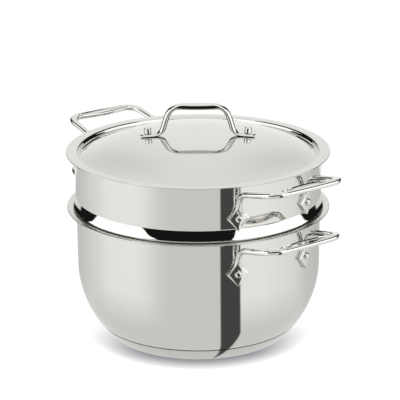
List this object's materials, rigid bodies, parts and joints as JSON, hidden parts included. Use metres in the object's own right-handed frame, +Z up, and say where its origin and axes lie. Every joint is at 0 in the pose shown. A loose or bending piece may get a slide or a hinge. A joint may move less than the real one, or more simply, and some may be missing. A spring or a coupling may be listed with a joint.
{
  "type": "steamer pot",
  "caption": "Round stainless steamer pot with a clad base, a lift-out steamer tier with a perforated floor, riveted loop handles on both tiers and an inset domed lid with a loop handle.",
  "frame": {"origin": "on the resting plane, under the middle of the base", "axes": "+Z up along the vessels' common axis, +X through the right-hand side handles, +Y to the rear"},
  "size_m": [0.3482, 0.2616, 0.235],
  "materials": {
    "polished_steel": "mirror polished stainless sheet",
    "base_steel": "finely turned satin stainless",
    "cast_steel": "tumble polished cast stainless",
    "rivet_steel": "polished stainless rivets",
    "core_aluminium": "mill finish, sealed inside the base"
  },
  "bodies": {
    "pot": {"pot_shell": "polished_steel", "base_core": "core_aluminium", "base_cap": "base_steel", "pot_handle_right": "cast_steel", "pot_handle_left": "cast_steel", "pot_rivet_right_front": "rivet_steel", "pot_rivet_right_rear": "rivet_steel", "pot_rivet_left_front": "rivet_steel", "pot_rivet_left_rear": "rivet_steel"},
    "insert": {"insert_shell": "polished_steel", "insert_handle_right": "cast_steel", "insert_handle_left": "cast_steel", "insert_rivet_right_front": "rivet_steel", "insert_rivet_right_rear": "rivet_steel", "insert_rivet_left_front": "rivet_steel", "insert_rivet_left_rear": "rivet_steel"},
    "lid": {"lid_shell": "polished_steel", "lid_handle": "cast_steel", "lid_rivet_right": "rivet_steel", "lid_rivet_left": "rivet_steel"}
  },
  "joints": [
    {"name": "insert_lift", "type": "slide", "parent": "pot", "child": "insert", "axis": [0, 0, 1], "range_m": [0, 0.15]},
    {"name": "lid_lift", "type": "slide", "parent": "insert", "child": "lid", "axis": [0, 0, 1], "range_m": [0, 0.12]}
  ]
}
